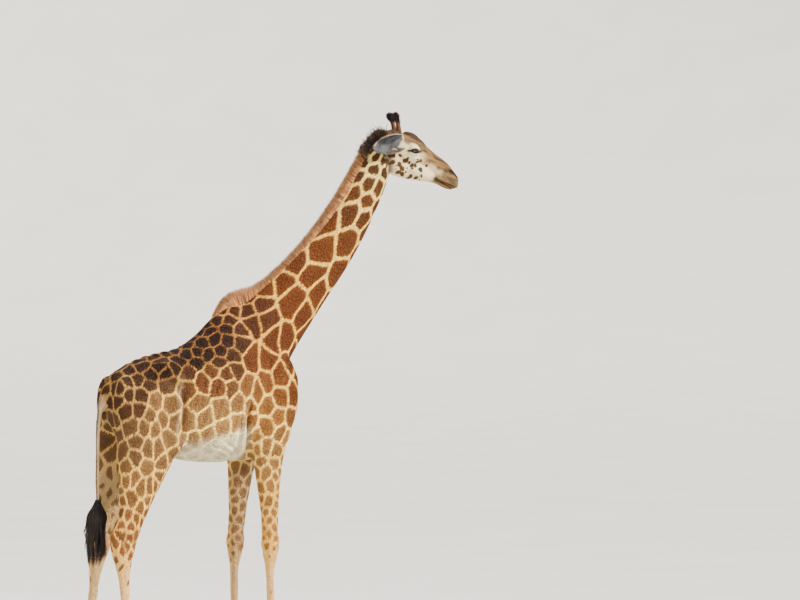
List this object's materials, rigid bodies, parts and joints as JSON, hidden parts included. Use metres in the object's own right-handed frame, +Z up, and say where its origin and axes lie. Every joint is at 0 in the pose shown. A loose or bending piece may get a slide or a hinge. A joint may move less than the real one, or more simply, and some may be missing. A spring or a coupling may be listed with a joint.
{
  "type": "standing giraffe model",
  "caption": "Life-size still model of an adult giraffe cow, standing on all four feet with its head level and its mouth closed.",
  "frame": {"origin": "middle of the bounding box in plan, on the ground under the hooves", "axes": "+X towards the animal's front, +Y towards its left side, +Z up"},
  "size_m": [2.971, 0.5788, 3.9487],
  "materials": {
    "coat": "short brown patched hair over hide",
    "muzzle": "very short hair over hide",
    "mane": "stiff upright hair",
    "dark_hair": "long black hair",
    "horn": "satin hoof horn",
    "eye": "wet gloss"
  },
  "bodies": {
    "root": {"trunk": "coat", "neck": "coat", "head": "coat", "lower_jaw": "muzzle", "ear_right": "coat", "ear_left": "coat", "ossicone_right": "coat", "ossicone_left": "coat", "eye_right": "eye", "eye_left": "eye", "mane": "mane", "tail": "coat", "tail_switch": "dark_hair", "foreleg_right_upper": "coat", "foreleg_right_lower": "coat", "foreleg_right_claw_outer": "horn", "foreleg_right_claw_inner": "horn", "foreleg_left_upper": "coat", "foreleg_left_lower": "coat", "foreleg_left_claw_outer": "horn", "foreleg_left_claw_inner": "horn", "hindleg_right_upper": "coat", "hindleg_right_lower": "coat", "hindleg_right_claw_outer": "horn", "hindleg_right_claw_inner": "horn", "hindleg_left_upper": "coat", "hindleg_left_lower": "coat", "hindleg_left_claw_outer": "horn", "hindleg_left_claw_inner": "horn"}
  },
  "joints": []
}
